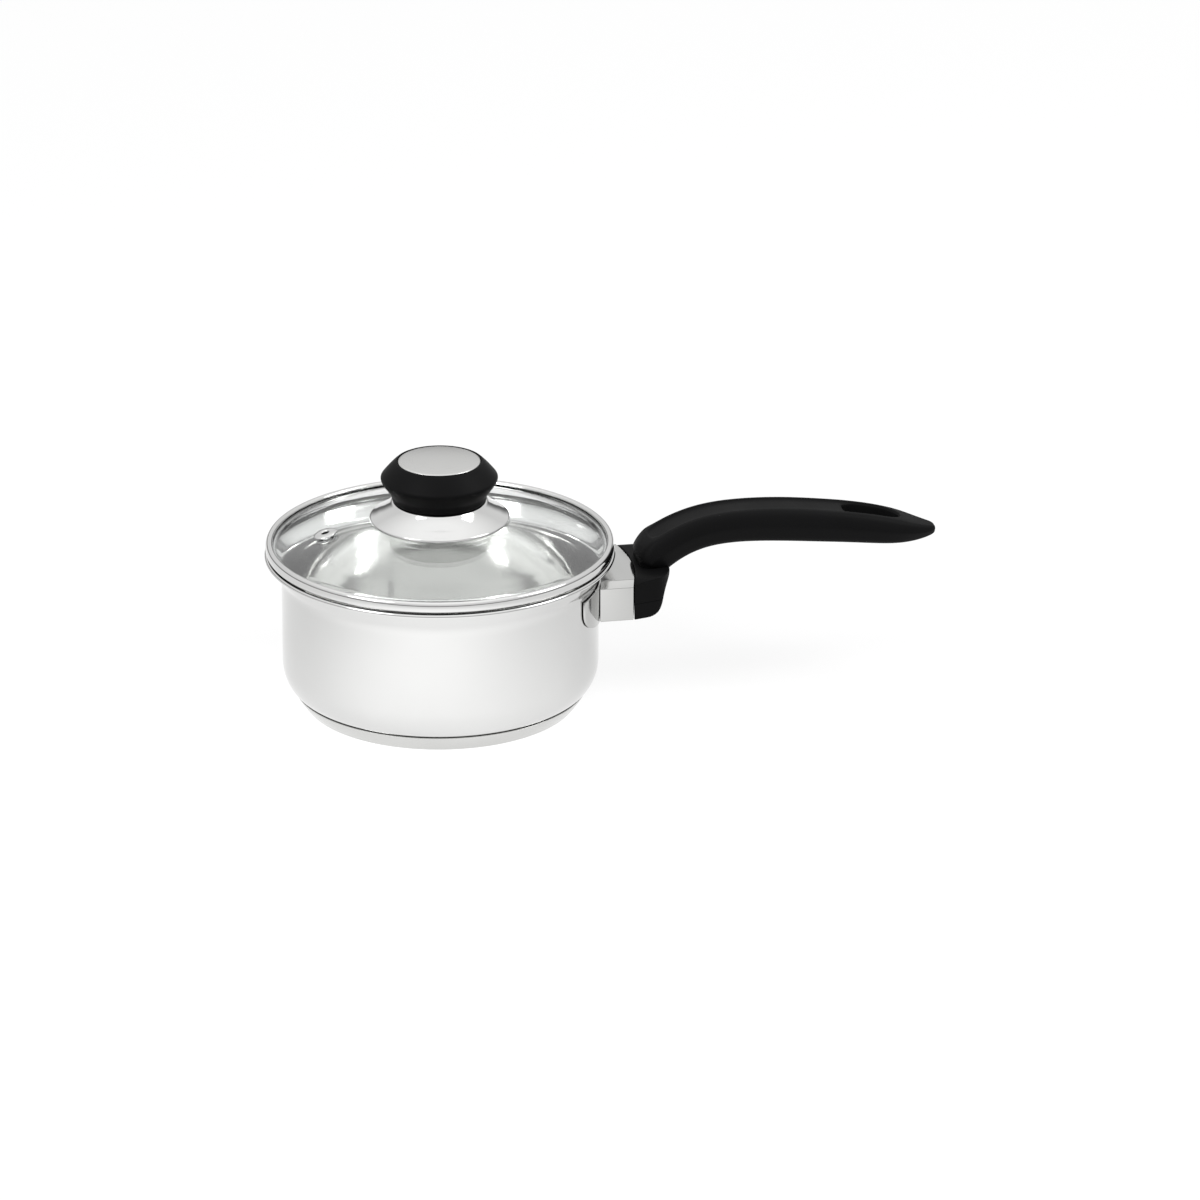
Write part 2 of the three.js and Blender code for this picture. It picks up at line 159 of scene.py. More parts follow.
floor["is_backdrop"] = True


# %% The surround and the soft boxes
def soft_box(name, place, size, power):
    bpy.ops.object.light_add(type="AREA", location=place)
    lamp = bpy.context.active_object
    lamp.name = name
    lamp.data.shape = "RECTANGLE"
    lamp.data.size, lamp.data.size_y = size
    lamp.data.energy = power
    towards = Vector((0.03, 0, 0.06)) - Vector(place)
    lamp.rotation_euler = towards.to_track_quat("-Z", "Y").to_euler()
    return lamp


surround = bpy.data.worlds.new("studio_surround")
bpy.context.scene.world = surround
surround.use_nodes = True
sky = surround.node_tree.nodes["Background"]
sky.inputs["Color"].default_value = (1, 1, 1, 1)
heading = surround.node_tree.nodes.new("ShaderNodeTexCoord")
upward = surround.node_tree.nodes.new("ShaderNodeSeparateXYZ")
horizon = surround.node_tree.nodes.new("ShaderNodeMapRange")
horizon.interpolation_type = "SMOOTHSTEP"
horizon.inputs["From Min"].default_value = 0.05
horizon.inputs["From Max"].default_value = 0.3
horizon.inputs["To Min"].default_value = 0.16
horizon.inputs["To Max"].default_value = 0.95
ceiling = surround.node_tree.nodes.new("ShaderNodeMapRange")
ceiling.inputs["From Min"].default_value = 0.5
ceiling.inputs["From Max"].default_value = 0.95
ceiling.inputs["To Max"].default_value = 0.5
both = surround.node_tree.nodes.new("ShaderNodeMath")
for source, target in (
        (heading.outputs["Generated"], upward.inputs[0]), (upward.outputs["Z"], horizon.inputs["Value"]),
        (upward.outputs["Z"], ceiling.inputs["Value"]), (horizon.outputs["Result"], both.inputs[0]),
        (ceiling.outputs["Result"], both.inputs[1]), (both.outputs["Value"], sky.inputs["Strength"])):
    surround.node_tree.links.new(source, target)
soft_box("left_box", (-1.0, -0.5, 1.1), (0.5, 0.7), 7)
soft_box("right_box", (1.1, -0.3, 1.1), (0.5, 0.7), 7)
bpy.context.scene.view_settings.view_transform = "Standard"
print("studio ready")

# %% [markdown]
# ## How turned pieces are made
#
# Almost everything here is round about the pan's axis. A turner would cut it from a drawn outline, and so
# do these cells: one point is extruded along the outline, and the outline is then spun once round the
# axis. The other way is to squeeze a cylinder ring by ring, but an outline is easier to read and to
# correct. Sheet metal is drawn as a single line and gets its thickness from Solidify.

# %% Curves for the outlines
def bend(start, pull_a, pull_b, end, steps=10):
    """Points along a smooth curve after its start, up to its end."""
    points = []
    for i in range(1, steps + 1):
        t = i / steps
        s = 1 - t
        points.append(tuple(
            s ** 3 * a + 3 * s * s * t * b + 3 * s * t * t * c + t ** 3 * d
            for a, b, c, d in zip(start, pull_a, pull_b, end)))
    return points


def arc(centre, radius, first, last, steps=8):
    """Points round a centre from one angle to another, in degrees."""
    angles = [math.radians(first + (last - first) * i / steps) for i in range(steps + 1)]
    return [(centre[0] + radius * math.cos(a), centre[1] + radius * math.sin(a)) for a in angles]


# %% Drawing and spinning an outline
def draw_line(name, points):
    """Extrudes one point along the line and stays in edit mode. Points are in millimetres."""
    places = [Vector(p) * mm for p in points]
    bpy.ops.object.select_all(action="DESELECT")
    bpy.ops.mesh.primitive_plane_add(size=mm)
    piece = bpy.context.active_object
    piece.name = piece.data.name = name
    bpy.ops.object.mode_set(mode="EDIT")
    bpy.ops.mesh.merge(type="CENTER")
    bpy.ops.transform.translate(value=places[0])
    for here, there in zip(places, places[1:]):
        bpy.ops.mesh.extrude_vertices_move(TRANSFORM_OT_translate={"value": there - here})
    return piece


def turn(name, outline, closed=False, steps=168):
    """Spins an outline of (radius, height) points once round the axis."""
    points = [(r, 0, z) for r, z in outline]
    if closed:
        points.append(points[0])
    piece = draw_line(name, points)
    bpy.ops.mesh.select_all(action="SELECT")
    bpy.ops.mesh.spin(steps=steps, angle=2 * math.pi, center=(0, 0, 0), axis=(0, 0, 1))
    bpy.ops.mesh.select_all(action="SELECT")
    bpy.ops.mesh.remove_doubles(threshold=0.005 * mm)
    bpy.ops.mesh.normals_make_consistent(inside=False)
    bpy.ops.object.mode_set(mode="OBJECT")
    return piece


# %% Filling a line and pushing it into a solid
def fill_and_push(push):
    """Fills the line that is being drawn, pushes the face along, in millimetres, and leaves edit mode."""
    bpy.ops.mesh.select_all(action="SELECT")
    bpy.ops.mesh.edge_face_add()
    bpy.ops.mesh.extrude_region_move(TRANSFORM_OT_translate={"value": Vector(push) * mm})
    bpy.ops.mesh.select_all(action="SELECT")
    bpy.ops.mesh.remove_doubles(threshold=0.005 * mm)
    bpy.ops.mesh.normals_make_consistent(inside=False)
    bpy.ops.object.mode_set(mode="OBJECT")


# %% [markdown]
# ## Modifiers, and how a piece is handed over
#
# A modifier is applied as soon as it is added, so each piece is a plain mesh at every step. One helper
# shades a finished piece, gives it its finish, ties it to its body and hides the CAD node that it stands
# for. It also prints how far the piece's box is from the CAD node's, which shows a slip at once.

# %% Applying modifiers
def only(piece):
    bpy.ops.object.select_all(action="DESELECT")
    piece.select_set(True)
    bpy.context.view_layer.objects.active = piece


def apply_modifier(piece, kind, **settings):
    """Adds a modifier, gives it its settings and applies it."""
    only(piece)
    modifier = piece.modifiers.new(kind.lower(), kind)
    for setting, value in settings.items():
        setattr(modifier, setting, value)
    bpy.ops.object.modifier_apply(modifier=modifier.name)


def combine(piece, tool, operation):
    """Joins, cuts or keeps what is common to both, and throws the tool away."""
    apply_modifier(piece, "BOOLEAN", operation=operation, object=tool, solver="MANIFOLD")
    bpy.data.objects.remove(tool)


def thicken(piece, thickness, behind=True):
    """Gives a single sheet its thickness, in millimetres, behind its normals or in front of them."""
    apply_modifier(
        piece, "SOLIDIFY", thickness=thickness * mm, offset=-1 if behind else 1,
        use_even_offset=True, use_quality_normals=True)


def soften(piece, width, segments=2, angle=40):
    """Rounds the sharp edges, as a deburred or moulded edge is."""
    apply_modifier(
        piece, "BEVEL", width=width * mm, segments=segments, limit_method="ANGLE",
        angle_limit=math.radians(angle), harden_normals=False, use_clamp_overlap=True)


# %% Handing a piece over
def hand_over(piece, body, finish, nodes, smooth=35):
    """Shades the piece, gives it its finish, ties it to its body and hides the CAD nodes that it stands for.
    """
    only(piece)
    bpy.ops.object.shade_smooth_by_angle(angle=math.radians(smooth))
    piece.data.materials.clear()
    piece.data.materials.append(finish)
    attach(piece, body)
    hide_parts(*nodes)
    corners = [v.co / mm for v in piece.data.vertices]
    drift = [
        round(end(c[i] for c in corners) - measure(nodes[0])[i], 2)
        for measure, end in ((lowest, min), (highest, max)) for i in range(3)]
    print(f"{piece.name}: {len(piece.data.polygons)} faces, off the CAD box by {drift} mm")


# %% [markdown]
# ## Finishes
#
# Each finish starts from the Principled shader. Polished steel is a mirror with very fine lines left by
# the wheel, which run round the axis, and faint smears where it was wiped. The lines come from a noise
# that is read by radius and height only, so they close on themselves with no seam. Three places get a
# tone laid over the steel that is painted light or shade: painted shade in the seam above the base,
# painted shade under the ring, and a painted lighter inside of the bowl.

# %% Small tools for building a finish
def new_finish(name):
    material = bpy.data.materials.new(name)
    material.use_nodes = True
    return material, material.node_tree, material.node_tree.nodes["Principled BSDF"]


def noise(tree, vector, scale, detail=3, roughness=0.5):
    node = tree.nodes.new("ShaderNodeTexNoise")
    node.inputs["Scale"].default_value = scale
    node.inputs["Detail"].default_value = detail
    node.inputs["Roughness"].default_value = roughness
    tree.links.new(vector, node.inputs["Vector"])
    return node.outputs["Fac"]


def ranged(tree, value, low, high, from_low=0.3, from_high=0.7):
    """Stretches the useful part of a noise to the range that a socket needs."""
    node = tree.nodes.new("ShaderNodeMapRange")
    node.inputs["From Min"].default_value = from_low
    node.inputs["From Max"].default_value = from_high
    node.inputs["To Min"].default_value = low
    node.inputs["To Max"].default_value = high
    tree.links.new(value, node.inputs["Value"])
    return node.outputs["Result"]


def math_node(tree, operation, *values):
    node = tree.nodes.new("ShaderNodeMath")
    node.operation = operation
    for socket, value in zip(node.inputs, values):
        if isinstance(value, (int, float)):
            socket.default_value = value
        else:
            tree.links.new(value, socket)
    return node.outputs["Value"]


def blended(tree, first, second, share):
    """Adds two noises, with this share of the first."""
    parts = math_node(tree, "MULTIPLY", first, share), math_node(tree, "MULTIPLY", second, 1 - share)
    return math_node(tree, "ADD", *parts)


def place_of(tree):
    return tree.nodes.new("ShaderNodeTexCoord").outputs["Object"]


def bump(tree, shader, height, strength, depth):
    """depth is the height of the relief in millimetres."""
    node = tree.nodes.new("ShaderNodeBump")
    node.inputs["Strength"].default_value = strength
    node.inputs["Distance"].default_value = depth * mm
    tree.links.new(height, node.inputs["Height"])
    tree.links.new(node.outputs["Normal"], shader.inputs["Normal"])


def tint(tree, shader, value, dark, light):
    """A colour that wanders between two close tones."""
    node = tree.nodes.new("ShaderNodeMix")
    node.data_type = "RGBA"
    node.inputs["A"].default_value = (*dark, 1)
    node.inputs["B"].default_value = (*light, 1)
    tree.links.new(value, node.inputs["Factor"])
    tree.links.new(node.outputs["Result"], shader.inputs["Base Color"])


def lay_over(tree, shader, value, colour):
    """Covers the colour so far with another one, where value is one."""
    node = tree.nodes.new("ShaderNodeMix")
    node.data_type = "RGBA"
    tree.links.new(shader.inputs["Base Color"].links[0].from_socket, node.inputs["A"])
    node.inputs["B"].default_value = (*colour, 1)
    tree.links.new(value, node.inputs["Factor"])
    tree.links.new(node.outputs["Result"], shader.inputs["Base Color"])


def round_the_axis(tree):
    """A place that is the same all the way round the pan's axis, so that a pattern runs in rings."""
    split = tree.nodes.new("ShaderNodeSeparateXYZ")
    tree.links.new(place_of(tree), split.inputs[0])
    square = [math_node(tree, "MULTIPLY", split.outputs[i], split.outputs[i]) for i in (0, 1)]
    radius = math_node(tree, "SQRT", math_node(tree, "ADD", *square))
    join = tree.nodes.new("ShaderNodeCombineXYZ")
    tree.links.new(radius, join.inputs["X"])
    tree.links.new(split.outputs["Z"], join.inputs["Z"])
    return join.outputs["Vector"]


# %% Steel
def radius_and_height(tree):
    split = tree.nodes.new("ShaderNodeSeparateXYZ")
    tree.links.new(round_the_axis(tree), split.inputs[0])
    return split.outputs["X"], split.outputs["Z"]


def steel_finish(name, dark, light, roughness, spread, line_depth, turned=True):
    """Steel with fine lines. spread is how far the roughness wanders either way."""
    material, tree, shader = new_finish(name)
    shader.inputs["Metallic"].default_value = 1
    place = place_of(tree)
    lines = noise(tree, round_the_axis(tree) if turned else place, 2600, 4, 0.6)
    smears = noise(tree, place, 22, 3, 0.55)
    worn = blended(tree, lines, smears, 0.6)
    tree.links.new(ranged(tree, worn, roughness - spread, roughness + spread), shader.inputs["Roughness"])
    tint(tree, shader, smears, dark, light)
    bump(tree, shader, lines, 0.5, line_depth)
    return material


# %% Tones laid over the steel
def darken_above(material, height):
    """Painted shade: a dark line along the top edge of the dish, for the shadow in the seam."""
    tree = material.node_tree
    upwards = radius_and_height(tree)[1]
    painted_seam_shade = ranged(tree, upwards, 0, 1, (height - 0.03) * mm, (height + 0.03) * mm)
    lay_over(tree, tree.nodes["Principled BSDF"], painted_seam_shade, (0.08, 0.08, 0.08))


def darken_under(material, radius, height):
    """Painted shade: the ring is painted near black outside a radius and below a height, for the shadow in
    the groove over the rim.
    """
    tree = material.node_tree
    outwards, upwards = radius_and_height(tree)
    outside = ranged(tree, outwards, 0, 1, (radius - 0.05) * mm, (radius + 0.05) * mm)
    below = ranged(tree, upwards, 1, 0, (height - 0.05) * mm, (height + 0.05) * mm)
    painted_ring_shade = math_node(tree, "MULTIPLY", outside, below)
    lay_over(tree, tree.nodes["Principled BSDF"], painted_ring_shade, (0.01, 0.01, 0.01))


def brighten_inside(material):
    """Painted light: the inside is painted a lighter steel than the outside, for more light inside the bowl.
    The mark "inside" is written on the piece's points.
    """
    tree = material.node_tree
    mark = tree.nodes.new("ShaderNodeAttribute")
    mark.attribute_name = "inside"
    lay_over(tree, tree.nodes["Principled BSDF"], mark.outputs["Fac"], (0.86, 0.86, 0.85))


# %% The metals
polished_steel = steel_finish("polished_steel", (0.58, 0.58, 0.575), (0.62, 0.62, 0.615), 0.075, 0.03, 0.0006)
bowl_steel = steel_finish("bowl_steel", (0.58, 0.58, 0.575), (0.62, 0.62, 0.615), 0.085, 0.03, 0.0006)
# Painted light: the inside of the bowl is painted a lighter steel.
brighten_inside(bowl_steel)
ring_steel = steel_finish("ring_steel", (0.58, 0.58, 0.575), (0.62, 0.62, 0.615), 0.075, 0.03, 0.0006)
# Painted shade on the ring's underside, so the groove over the rim shows dark.
darken_under(ring_steel, 83.4, 81.6)
satin_steel = steel_finish("satin_steel", (0.52, 0.52, 0.51), (0.58, 0.58, 0.57), 0.3, 0.06, 0.004)
dish_steel = steel_finish("dish_steel", (0.53, 0.53, 0.52), (0.58, 0.58, 0.57), 0.2, 0.05, 0.003)
# Painted shade: the top edge of the dish is painted dark, for the shadow in the seam.
darken_above(dish_steel, seam_height - 0.12)
guard_steel = steel_finish(
    "guard_steel", (0.46, 0.46, 0.455), (0.52, 0.52, 0.51), 0.14, 0.04, 0.001, turned=False)
zinc_plate = steel_finish("zinc_plate", (0.5, 0.51, 0.53), (0.6, 0.61, 0.62), 0.36, 0.08, 0.003, turned=False)
rolled_aluminium = steel_finish(
    "rolled_aluminium", (0.6, 0.6, 0.61), (0.7, 0.7, 0.71), 0.45, 0.08, 0.004, turned=False)
turned_brass = steel_finish("turned_brass", (0.55, 0.4, 0.17), (0.66, 0.5, 0.24), 0.3, 0.08, 0.004)


# %% Black phenolic, silicone and glass
def phenolic_finish():
    """Black moulding: a fine even grain, and patches that are a little shinier from handling."""
    material, tree, shader = new_finish("black_phenolic")
    shader.inputs["Specular IOR Level"].default_value = 0.05
    place = place_of(tree)
    grain = noise(tree, place, 1500, 3, 0.6)
    handling = noise(tree, place, 35, 2, 0.5)
    tint(tree, shader, handling, (0.0035, 0.0035, 0.0037), (0.0052, 0.0052, 0.0054))
    worn = blended(tree, grain, handling, 0.35)
    tree.links.new(ranged(tree, worn, 0.42, 0.58), shader.inputs["Roughness"])
    bump(tree, shader, grain, 0.35, 0.02)
    return material


def silicone_finish():
    material, tree, shader = new_finish("milky_silicone")
    place = place_of(tree)
    cloud = noise(tree, place, 160, 3, 0.5)
    tint(tree, shader, cloud, (0.62, 0.62, 0.59), (0.72, 0.72, 0.69))
    tree.links.new(ranged(tree, noise(tree, place, 900, 2), 0.5, 0.62), shader.inputs["Roughness"])
    return material


def glass_finish():
    """Clear tempered glass. Light from the lamps goes straight through it, so the pan inside stays lit."""
    material, tree, shader = new_finish("clear_glass")
    shader.inputs["Base Color"].default_value = (0.975, 0.99, 0.985, 1)
    shader.inputs["Transmission Weight"].default_value = 1
    shader.inputs["IOR"].default_value = 1.5
    film = noise(tree, place_of(tree), 30, 3, 0.6)
    tree.links.new(ranged(tree, film, 0.0, 0.012, 0.35, 0.8), shader.inputs["Roughness"])
    clear = tree.nodes.new("ShaderNodeBsdfTransparent")
    path = tree.nodes.new("ShaderNodeLightPath")
    mix = tree.nodes.new("ShaderNodeMixShader")
    tree.links.new(path.outputs["Is Shadow Ray"], mix.inputs["Fac"])
    tree.links.new(shader.outputs["BSDF"], mix.inputs[1])
    tree.links.new(clear.outputs["BSDF"], mix.inputs[2])
    tree.links.new(mix.outputs["Shader"], tree.nodes["Material Output"].inputs["Surface"])
    return material


black_phenolic = phenolic_finish()
milky_silicone = silicone_finish()
clear_glass = glass_finish()
print(len(bpy.data.materials), "materials")

# %% [markdown]
# ## The bowl
#
# The bowl is drawn from one disc of steel: a flat floor, a round corner, a straight wall, then a flare
# that ends in a curled pouring rim. It is one thin sheet, so its outer line is drawn once and Solidify
# puts the steel inside it. The sheet's normals point into the bowl, so that is in front of them. The curl
# is part of the line. Each point of the finished bowl is then marked as inside or outside for its finish.

# %% Turn the bowl
corner_top = 24
flare_start = 65.0
curl = (rim_radius - 1.3, rim_top - 1.3)
bowl_line = [(0.0, 5.6), (32, 5.6), (60, 5.6), (64, 5.6)]
bowl_line += bend((64, 5.6), (76.2, 7.2), (bowl_radius, 15), (bowl_radius, corner_top), 18)
bowl_line += [(bowl_radius, corner_top + (flare_start - corner_top) * i / 6) for i in range(1, 7)]
bowl_line += bend((bowl_radius, flare_start), (bowl_radius, 68.6), (80.6, 70.0), (81.9, 72.0), 10)
bowl_line += [(82.9, 73.6), (84.0, 75.4), (85.2, 77.3)]
bowl_line += arc(curl, 0.5, 148, -20, 9)
bowl = turn("bowl", bowl_line, steps=192)
thicken(bowl, wall, behind=False)

# %% Mark the inside of the bowl
# The mark tells the finish where the painted lighter inside goes.
mark = bowl.data.attributes.new("inside", "FLOAT", "POINT")
for point, value in zip(bowl.data.vertices, mark.data):
    outward = Vector((point.co.x, point.co.y, 0)).normalized()
    faces_axis = point.normal.dot(outward) < -0.3
    on_floor = point.normal.z > 0.5 and point.co.z < corner_top * mm
    value.value = float(faces_axis or on_floor)
hand_over(bowl, "pan", bowl_steel, ["pan_shell"])

# %% [markdown]
# ## The base
#
# A steel dish is pressed over an aluminium disc and brazed under the bowl. It shows as a band round the
# foot, a shade duller than the wall, below a seam as fine as a pencil line. The seam is a real gap between
# the two pieces of steel, and its dark line is painted shade along the dish's top edge.

# %% Turn the base dish
dish_line = [(0.0, 0.0), (30, 0.0), (60, 0.0), (foot_radius - 2, 0.0)]
foot_end = (foot_radius + 0.9, 1.4)
dish_line += bend((foot_radius - 2, 0), (foot_radius - 0.6, 0), (foot_radius + 0.4, 0.5), foot_end, 6)
dish_line += bend(foot_end, (71.4, 4), (73.2, 6.6), (seam_radius, seam_height - 0.3), 8)
dish = turn("base_dish", dish_line, steps=192)
thicken(dish, 0.6)
soften(dish, 0.15, 2, 50)
hand_over(dish, "pan", dish_steel, ["base_cap"])

# %% [markdown]
# ## The lid glass and its ring
#
# The dome is part of a large ball, with a flat edge for the ring to grip. It has to be a closed body with
# two faces, or the light wouldn't bend in it as it does in real glass. The steel ring is a sheet rolled
# round the edge, so it is drawn as a line and thickened.

# %% Turn the glass, and drill it for the vent
ball_radius = 221.0
dome_top = highest("lid_glass").z + (4.5 ** 2) / (2 * ball_radius)
glass_thickness = 3.4


def dome_height(radius):
    return dome_top - radius ** 2 / (2 * ball_radius)


glass_top = [(r, dome_height(r)) for r in (4.5, 10, 18, 26, 34, 42, 50, 58, 66, 73, 79)]
glass_top += bend((79, dome_height(79)), (80.6, 85.9), (81.8, 85.5), (83.4, 85.3), 5)
glass_top += [(85.9, 85.25), (86.2, 84.9)]
glass_low = [(86.2, 82.2), (85.9, 81.85), (83.4, 81.8)]
glass_low += bend((83.4, 81.8), (81.4, 82.0), (80.0, 82.5), (78, dome_height(78) - 3.6), 5)
glass_low += [(r, dome_height(r) - glass_thickness) for r in (73, 66, 58, 50, 42, 34, 26, 18, 10, 4.5)]
glass = turn("dome_glass", glass_top + glass_low, closed=True, steps=168)
vent_reach = 58.0
vent_tilt = math.asin(vent_reach / ball_radius)
vent_place = Vector((-vent_reach, 0, dome_height(vent_reach))) * mm


def onto_the_dome(piece):
    """Tips a piece made on the axis so that it is square to the glass, and carries it to the vent."""
    piece.rotation_euler = (0, -vent_tilt, 0)
    piece.location = vent_place
    only(piece)
    bpy.ops.object.transform_apply(location=True, rotation=True, scale=True)


drill = turn("vent_drill", [(0, -8), (3.6, -8), (3.6, 8), (0, 8)], steps=48)
onto_the_dome(drill)
combine(glass, drill, "DIFFERENCE")
hand_over(glass, "lid", clear_glass, ["lid_glass"], smooth=30)

# %% Turn the ring
ring_radius = ring_high.y
lip = 82.6
ring_line = [(lip, 78.6), (lip, 79.6), (lip + 0.1, 80.6), (lip + 0.5, ring_low.z + 2.35), (lip + 1.1, 81.0)]
ring_line += [(84.6, 81.0), (85.6, 81.0)]
ring_line += bend((85.6, 81.0), (87.0, 81.0), (ring_radius, 81.8), (ring_radius, 83.2), 8)
ring_line += bend((ring_radius, 84.2), (ring_radius, 85.9), (87.1, 86.8), (86.0, 86.9), 8)
ring_line += bend((86.0, 86.9), (84.9, 86.95), (84.3, 86.5), (84.1, 85.5), 8)
ring = turn("rolled_ring", ring_line, steps=192)
thicken(ring, 0.5)
soften(ring, 0.12, 2, 50)
hand_over(ring, "lid", ring_steel, ["lid_ring"])

# %% [markdown]
# ## The steam vent
#
# The vent is a steel eyelet with a broad rounded head, closed over a washer below the glass. It is turned
# upright on the axis, where an outline is easy to draw, and then tipped and carried to its place.

# %% Turn the eyelet and its washer
eyelet_line = [(1.8, -5.4), (4.4, -5.5), (4.6, -5.2), (4.4, -4.9), (3.3, -4.9), (3.3, 0.25), (5.9, 0.25)]
eyelet_line += bend((5.9, 0.25), (6.15, 0.35), (6.1, 0.8), (5.6, 1.0), 4)
eyelet_line += bend((5.6, 1.0), (4.6, 1.4), (3.0, 1.55), (2.4, 1.4), 5)
eyelet_line += bend((2.4, 1.4), (2.0, 1.3), (1.8, 1.1), (1.8, 0.6), 4)
eyelet = turn("vent_eyelet_head", eyelet_line, closed=True, steps=72)
onto_the_dome(eyelet)
hand_over(eyelet, "lid", polished_steel, ["vent_eyelet"])
washer = turn("vent_washer_ring", [(3.6, -4.6), (5.5, -4.6), (5.5, -3.7), (3.6, -3.7)], closed=True, steps=64)
soften(washer, 0.2, 2)
onto_the_dome(washer)
hand_over(washer, "lid", polished_steel, ["vent_washer"])

# %% [markdown]
# ## The knob
#
# A thin bright bell stands on the glass and carries the knob. The knob is a black moulding, widest just
# above its middle, and a satin steel disc sits in its top with a hair line of shadow round it. The knob
# is hollow below round a boss, as a moulding with even walls is.

# %% Turn the bell
bell_top = highest("knob_skirt").z
bell_radius = highest("knob_skirt").y
bell_line = [(2.8, bell_top), (12, bell_top), (22.6, bell_top)]
bell_line += bend((22.6, bell_top), (23.4, bell_top), (23.9, 108.3), (24.3, 107.9), 5)
bell_line += bend((24.3, 107.9), (25.8, 105.9), (28.2, 103.8), (30.4, 102.4), 10)
bell_line += [(31.8, 101.5), (33.2, 100.6)]
bell_line += bend((33.2, 100.6), (34.6, 99.8), (bell_radius, 99.6), (bell_radius, 99.0), 6)
bell_line += [(bell_radius, 98.4)]
bell = turn("knob_bell", bell_line, steps=144)
thicken(bell, 0.6)
hand_over(bell, "lid", polished_steel, ["knob_skirt"])

# %% Turn the knob and its disc
knob_low = lowest("knob_body").z
knob_radius = highest("knob_body").y
knob_line = [(0, 121), (4.6, 121), (4.6, knob_low), (8.5, knob_low), (9, 118), (19.5, 118), (20.5, knob_low)]
knob_line += [(23.2, knob_low)]
knob_line += bend((23.2, knob_low), (23.6, knob_low), (23.8, knob_low + 0.2), (23.9, 109.2), 3)
knob_line += bend((23.9, 109.2), (24.1, 111.2), (24.7, 112.4), (25.4, 113.3), 6)
knob_line += bend((25.4, 113.3), (26.8, 115.3), (28.4, 117.2), (29.2, 118.9), 8)
knob_line += bend((29.2, 118.9), (knob_radius, 119.8), (knob_radius, 120.5), (29.0, 121.2), 6)
knob_line += bend((29.0, 121.2), (27.2, 123.4), (24.6, 126.6), (22.3, 128.5), 12)
knob_line += bend((22.3, 128.5), (21.9, 128.9), (21.5, 129.0), (21.2, 128.9), 4)
knob_line += [(21.1, 128.6), (21.1, 127.5), (0, 127.5)]
knob = turn("knob_moulding", knob_line, steps=144)
hand_over(knob, "lid", black_phenolic, ["knob_body"], smooth=30)
disc_radius = highest("knob_cap").y
disc_top = highest("knob_cap").z
disc_line = [(r, disc_top - 1.35 * (r / disc_radius) ** 2) for r in (0, 4, 8, 12, 16, 19)]
disc_line += bend(disc_line[-1], (20.2, 129.05), (disc_radius, 128.9), (disc_radius, 128.4), 5)
disc_line += [(disc_radius, 127.9)]
disc = turn("knob_disc", disc_line, steps=144)
thicken(disc, 0.6)
hand_over(disc, "lid", satin_steel, ["knob_cap"])

# %% [markdown]
# ## The fixings under the lid
#
# A slotted screw, a spring washer, a flat washer and a soft gasket hold the knob from below. They are
# small, but the lid is looked at from below when it is lifted, so each gets its own turned outline with
# broken edges.

# %% Turn the washers
small_pieces = (
    ("knob_flat_washer", "knob_washer", zinc_plate, "zinc_steel"),
    ("knob_soft_gasket", "knob_gasket", milky_silicone, "silicone"),
    ("knob_spring_washer", "knob_lock_washer", zinc_plate, "zinc_steel"),
    ("handle_spring_washer", "handle_lock_washer", zinc_plate, "zinc_steel"),
)
for name, node, finish, slot in small_pieces:
    low, high = lowest(node), highest(node)
    middle = (low.x + high.x) / 2
    outer = (high.x - low.x) / 2
    rim = [(2.7, low.z), (outer, low.z), (outer, high.z), (2.7, high.z)]
    small = turn(name, rim, closed=True, steps=64)
    soften(small, 0.18, 2)
    small.location.x = middle * mm
    only(small)
    bpy.ops.object.transform_apply(location=True)
    hand_over(small, "lid" if node.startswith("knob") else "pan", finish, [node])


# %% Turn and slot the screws
def slotted_screw(name, node, head_depth, shank_radius, body):
    """A pan-head screw, head down, with a driver slot cut across it."""
    low, high = lowest(node), highest(node)
    outer = (high.y - low.y) / 2
    base = low.z
    outline = [(0, base)] + bend((0, base), (outer * 0.6, base), (outer, base + 0.5), (outer, base + 1.5), 8)
    outline += [(outer, base + head_depth), (shank_radius, base + head_depth), (shank_radius, high.z - 0.6)]
    outline += [(shank_radius - 0.6, high.z), (0, high.z)]
    screw = turn(name, outline, steps=64)
    bpy.ops.object.select_all(action="DESELECT")
    bpy.ops.mesh.primitive_cube_add(size=1, location=(0, 0, base * mm))
    cutter = bpy.context.active_object
    cutter.scale = (12 * mm, 1.2 * mm, 2.4 * mm)
    combine(screw, cutter, "DIFFERENCE")
    screw.location.x = (low.x + high.x) / 2 * mm
    only(screw)
    bpy.ops.object.transform_apply(location=True)
    hand_over(screw, body, zinc_plate, [node])


slotted_screw("knob_slotted_screw", "knob_screw", 2.7, 2.3, "lid")
slotted_screw("handle_slotted_screw", "handle_screw", 2.7, 2.4, "pan")

# %% [markdown]
# ## Picking points, edges and faces
#
# The guard and the handle are worked on in edit mode. A maker would click on the edges to bevel. Here they
# are picked by a rule about where they are, which still holds when a size changes.

# %% Helpers that pick by a rule
def start_picking(piece, kind):
    """Clears the selection, ready to pick points, edges or faces."""
    only(piece)
    bpy.ops.object.mode_set(mode="EDIT")
    bpy.ops.mesh.select_mode(type=kind)
    bpy.ops.mesh.select_all(action="DESELECT")
    bpy.ops.object.mode_set(mode="OBJECT")


def pick_points(piece, wanted):
    """Picks the points whose place in millimetres answers wanted(place), and opens edit mode."""
    start_picking(piece, "VERT")
    for point in piece.data.vertices:
        point.select = wanted(point.co / mm)
    bpy.ops.object.mode_set(mode="EDIT")


